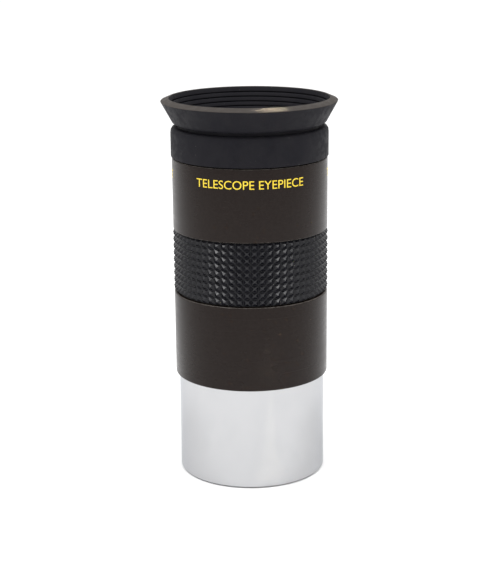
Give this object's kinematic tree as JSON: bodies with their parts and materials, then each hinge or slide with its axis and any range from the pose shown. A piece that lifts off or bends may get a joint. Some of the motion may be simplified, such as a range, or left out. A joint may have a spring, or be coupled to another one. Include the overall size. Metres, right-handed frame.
{
  "type": "telescope eyepiece",
  "caption": "Slim 1.25 inch telescope eyepiece with a chrome barrel, black housing, pyramid-textured rubber grip and a flared fold-down rubber eyecup.",
  "frame": {"origin": "centre of the barrel's bottom rim, where the eyepiece stands", "axes": "+Z along the optical axis from the barrel to the eyecup; X and Y are level and interchangeable"},
  "size_m": [0.0376, 0.0376, 0.0822],
  "materials": {
    "chrome": "satin bright chrome on brass or aluminium",
    "black_anodised": "glossy black anodised",
    "matt_black": "matt black anodised",
    "rubber": "moulded black rubber",
    "nylon": "thin black nylon",
    "crown_glass": "polished, coated",
    "flint_glass": "polished, coated",
    "yellow_paint": "yellow paint in the lettering, added with the looks",
    "steel": "plain"
  },
  "bodies": {
    "barrel": {"barrel": "chrome"},
    "lens_stack": {"eye_lens_flint": "flint_glass", "eye_lens_crown": "crown_glass", "lens_spacer": "matt_black", "field_lens_crown": "crown_glass", "field_lens_flint": "flint_glass"},
    "housing": {"lower_housing": "black_anodised", "upper_housing": "black_anodised", "housing_lock_screw": "steel", "grip_ring": "rubber", "field_stop_ring": "matt_black", "light_baffle": "matt_black", "lens_cell": "matt_black", "cell_lock_ring": "matt_black", "eye_lens_seal": "nylon", "field_lens_seal": "nylon", "field_lens_retainer": "matt_black"},
    "eyecup": {"eyecup_sleeve": "rubber", "eyecup_skirt": "rubber"},
    "eyecup_rim": {"eyecup_lip": "rubber"}
  },
  "joints": [
    {"name": "housing_lift", "type": "slide", "parent": "barrel", "child": "lens_stack", "axis": [0, 0, 1], "range_m": [0, 0.0045]},
    {"name": "housing_unscrew", "type": "hinge", "parent": "lens_stack", "child": "housing", "pos_m": [0, 0, 0.03], "axis": [0, 0, 1], "range_deg": [0, 2160]},
    {"name": "eyecup_pull_off", "type": "slide", "parent": "housing", "child": "eyecup", "axis": [0, 0, 1], "range_m": [0, 0.008]},
    {"name": "eyecup_fold", "type": "slide", "parent": "eyecup", "child": "eyecup_rim", "axis": [0, 0, -1], "range_m": [0, 0.0036], "deforming": ["eyecup_skirt"]}
  ],
  "couplings": [
    {"joint": "housing_lift", "follows": "housing_unscrew", "m_per_rad": 0.00011937}
  ]
}
